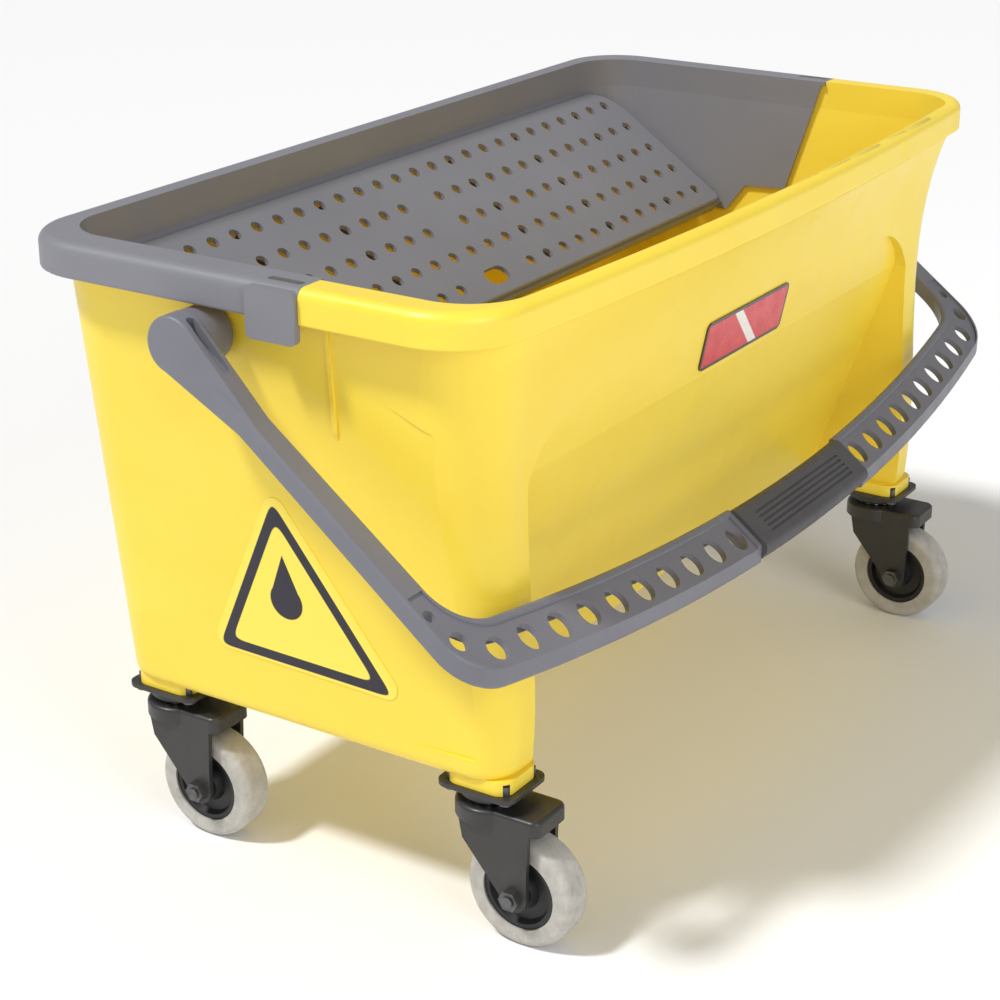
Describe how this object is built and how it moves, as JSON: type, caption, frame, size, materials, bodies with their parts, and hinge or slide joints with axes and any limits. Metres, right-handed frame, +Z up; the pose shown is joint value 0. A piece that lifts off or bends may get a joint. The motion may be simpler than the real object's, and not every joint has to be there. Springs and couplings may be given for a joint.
{
  "type": "flat-mop bucket with press wringer",
  "caption": "Long oblong floor-cleaning bucket on swivel casters, with an arched front recess, a lift-out sloping press wringer over the rear and a swinging bail handle.",
  "frame": {"origin": "on the floor under the middle of the whole object's bounding box, bail handle included", "axes": "+X along the long side, +Z up, -Y towards the front with the arched recess"},
  "size_m": [0.7706, 0.3946, 0.424],
  "materials": {
    "yellow_plastic": "moulded polypropylene, soft gloss",
    "grey_plastic": "moulded polypropylene, fine satin grain",
    "bail_plastic": "moulded nylon, satin",
    "black_steel": "black powder coat on pressed steel",
    "grip_plastic": "ribbed soft grip, matt",
    "pin_plastic": "turned nylon",
    "label_print": "printed film label with a dark outline",
    "badge_print": "printed badge, glossy",
    "zinc_steel": "bright zinc plate on pressed steel",
    "screw_steel": "zinc plated fastener",
    "ball_steel": "polished balls",
    "bush_steel": "plain tube",
    "hub_plastic": "moulded nylon",
    "tread_rubber": "light grey non-marking tread"
  },
  "bodies": {
    "bucket": {"bucket_tub": "yellow_plastic", "bail_pin_left": "pin_plastic", "bail_pin_right": "pin_plastic", "end_label_left": "label_print", "end_label_right": "label_print", "front_badge": "badge_print", "caster_front_left_plate": "black_steel", "caster_front_left_screws": "screw_steel", "caster_front_left_race": "black_steel", "caster_front_left_king_pin": "zinc_steel", "caster_front_right_plate": "black_steel", "caster_front_right_screws": "screw_steel", "caster_front_right_race": "black_steel", "caster_front_right_king_pin": "zinc_steel", "caster_back_left_plate": "black_steel", "caster_back_left_screws": "screw_steel", "caster_back_left_race": "black_steel", "caster_back_left_king_pin": "zinc_steel", "caster_back_right_plate": "black_steel", "caster_back_right_screws": "screw_steel", "caster_back_right_race": "black_steel", "caster_back_right_king_pin": "zinc_steel"},
    "bail": {"bail_handle": "bail_plastic", "bail_grip": "grip_plastic"},
    "wringer": {"wringer_frame": "grey_plastic"},
    "wringer_plate": {"press_plate": "grey_plastic"},
    "swivel_front_left": {"caster_front_left_fork": "black_steel", "caster_front_left_axle_bolt": "screw_steel", "caster_front_left_axle_nut": "screw_steel", "caster_front_left_balls": "ball_steel"},
    "wheel_front_left": {"caster_front_left_hub": "hub_plastic", "caster_front_left_bush": "bush_steel", "caster_front_left_tread": "tread_rubber"},
    "swivel_front_right": {"caster_front_right_fork": "black_steel", "caster_front_right_axle_bolt": "screw_steel", "caster_front_right_axle_nut": "screw_steel", "caster_front_right_balls": "ball_steel"},
    "wheel_front_right": {"caster_front_right_hub": "hub_plastic", "caster_front_right_bush": "bush_steel", "caster_front_right_tread": "tread_rubber"},
    "swivel_back_left": {"caster_back_left_fork": "black_steel", "caster_back_left_axle_bolt": "screw_steel", "caster_back_left_axle_nut": "screw_steel", "caster_back_left_balls": "ball_steel"},
    "wheel_back_left": {"caster_back_left_hub": "hub_plastic", "caster_back_left_bush": "bush_steel", "caster_back_left_tread": "tread_rubber"},
    "swivel_back_right": {"caster_back_right_fork": "black_steel", "caster_back_right_axle_bolt": "screw_steel", "caster_back_right_axle_nut": "screw_steel", "caster_back_right_balls": "ball_steel"},
    "wheel_back_right": {"caster_back_right_hub": "hub_plastic", "caster_back_right_bush": "bush_steel", "caster_back_right_tread": "tread_rubber"}
  },
  "joints": [
    {"name": "bail_swing", "type": "hinge", "parent": "bucket", "child": "bail", "pos_m": [0, 0.04929, 0.382], "axis": [-1, 0, 0], "range_deg": [0, 272]},
    {"name": "wringer_lift", "type": "slide", "parent": "bucket", "child": "wringer", "axis": [0, 0, 1], "range_m": [0, 0.2]},
    {"name": "press_plate_lift", "type": "slide", "parent": "wringer", "child": "wringer_plate", "axis": [0, 0, 1], "range_m": [0, 0.15]},
    {"name": "swivel_front_left", "type": "hinge", "parent": "bucket", "child": "swivel_front_left", "pos_m": [-0.292, -0.11571, 0.09], "axis": [0, 0, 1], "continuous": true},
    {"name": "roll_front_left", "type": "hinge", "parent": "swivel_front_left", "child": "wheel_front_left", "pos_m": [-0.292, -0.14271, 0.038], "axis": [1, 0, 0], "continuous": true},
    {"name": "swivel_front_right", "type": "hinge", "parent": "bucket", "child": "swivel_front_right", "pos_m": [0.292, -0.11571, 0.09], "axis": [0, 0, 1], "continuous": true},
    {"name": "roll_front_right", "type": "hinge", "parent": "swivel_front_right", "child": "wheel_front_right", "pos_m": [0.292, -0.14271, 0.038], "axis": [1, 0, 0], "continuous": true},
    {"name": "swivel_back_left", "type": "hinge", "parent": "bucket", "child": "swivel_back_left", "pos_m": [-0.292, 0.13529, 0.09], "axis": [0, 0, 1], "continuous": true},
    {"name": "roll_back_left", "type": "hinge", "parent": "swivel_back_left", "child": "wheel_back_left", "pos_m": [-0.292, 0.10829, 0.038], "axis": [1, 0, 0], "continuous": true},
    {"name": "swivel_back_right", "type": "hinge", "parent": "bucket", "child": "swivel_back_right", "pos_m": [0.292, 0.13529, 0.09], "axis": [0, 0, 1], "continuous": true},
    {"name": "roll_back_right", "type": "hinge", "parent": "swivel_back_right", "child": "wheel_back_right", "pos_m": [0.292, 0.10829, 0.038], "axis": [1, 0, 0], "continuous": true}
  ]
}
